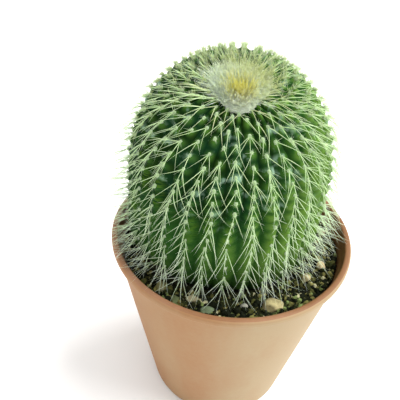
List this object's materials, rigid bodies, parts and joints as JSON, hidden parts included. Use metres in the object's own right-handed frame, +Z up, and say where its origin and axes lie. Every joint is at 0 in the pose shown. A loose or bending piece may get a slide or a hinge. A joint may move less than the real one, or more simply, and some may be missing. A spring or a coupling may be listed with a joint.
{
  "type": "potted golden ball cactus",
  "caption": "Small ribbed ball cactus with pale needle spines and a woolly golden crown tipped to one side, standing in a thin tapered plastic pot of dark gritty compost with loose stones.",
  "frame": {"origin": "middle of the pot's flat underside", "axes": "+Z up along the pot's axis; -Y is the front, the side the crown tips towards; +X to the right seen from the front"},
  "size_m": [0.059, 0.0592, 0.0944],
  "materials": {
    "pot_plastic": "satin",
    "compost": "matte",
    "cactus_skin": "satin",
    "spines": "satin",
    "wool": "matte",
    "golden_spines": "satin",
    "tan_stone": "matte",
    "green_stone": "matte",
    "grey_stone": "matte"
  },
  "bodies": {
    "root": {"pot": "pot_plastic", "soil": "compost", "cactus_body": "cactus_skin", "crown_wool": "wool", "stone_tan_large": "tan_stone", "stone_tan_right": "tan_stone", "stone_tan_rim": "tan_stone", "stone_olive": "green_stone", "stone_pale_left": "green_stone", "stone_brown": "grey_stone", "stone_pale_front": "green_stone", "stone_grey": "grey_stone", "stone_back_right": "tan_stone", "stone_right": "grey_stone"}
  },
  "joints": []
}
